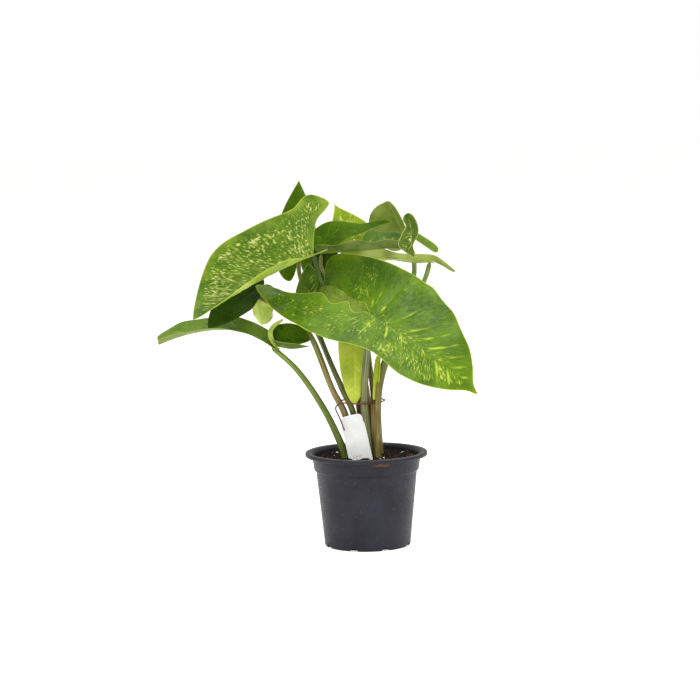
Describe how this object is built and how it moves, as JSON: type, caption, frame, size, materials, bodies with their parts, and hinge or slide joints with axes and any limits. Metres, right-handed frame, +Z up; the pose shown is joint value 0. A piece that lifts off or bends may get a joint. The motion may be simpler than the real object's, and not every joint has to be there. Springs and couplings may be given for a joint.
{
  "type": "arrowhead plant in nursery pot",
  "caption": "Variegated arrowhead plant with arrow-shaped leaves on long stalks, in a round black nursery pot with a blank label and a wire tie.",
  "frame": {"origin": "middle of the pot's flat base, on the floor", "axes": "+Z up; -Y is the front, where the label stands; +X is to the right, where the broadest leaf leans out"},
  "size_m": [0.2677, 0.181, 0.3101],
  "materials": {
    "black_plastic": "charcoal-black moulded plastic, semi-matt, dusty and scuffed",
    "soil": "moist black-brown potting soil with bark crumbs and a few white perlite grains",
    "white_plastic": "thin white plastic plant label, satin, left bare",
    "brown_wire": "brown plastic-coated tie wire, satin",
    "stalk_green": "green leaf stalk, satin",
    "stalk_olive": "olive to grey-green leaf stalks and sheath, satin",
    "stalk_brown": "brownish olive leaf stalks, satin",
    "leaf_green": "leathery green blade with cream flecks along the veins, soft gloss",
    "leaf_dark": "dark bluish green blade with yellow-green streaks, soft gloss",
    "leaf_pale": "pale olive underside of a leathery green blade, satin",
    "leaf_bright": "bright yellow-green young blade with cream streaks, soft gloss"
  },
  "bodies": {
    "root": {"pot": "black_plastic", "soil": "soil", "label": "white_plastic", "tie": "brown_wire", "stem_left": "stalk_green", "stem_middle": "stalk_olive", "stem_right": "stalk_olive", "stem_back": "stalk_brown", "blade_left_broad": "leaf_green", "blade_front_broad": "leaf_green", "blade_left_low": "leaf_green", "blade_left_dark": "leaf_dark", "blade_left_pale": "leaf_pale", "blade_back_upright": "leaf_green", "blade_top_bright": "leaf_bright", "blade_top_middle": "leaf_green", "blade_right_waved": "leaf_dark", "blade_back_right": "leaf_pale", "blade_right_pale": "leaf_pale", "blade_middle_dark": "leaf_dark", "blade_new": "leaf_bright"}
  },
  "joints": []
}
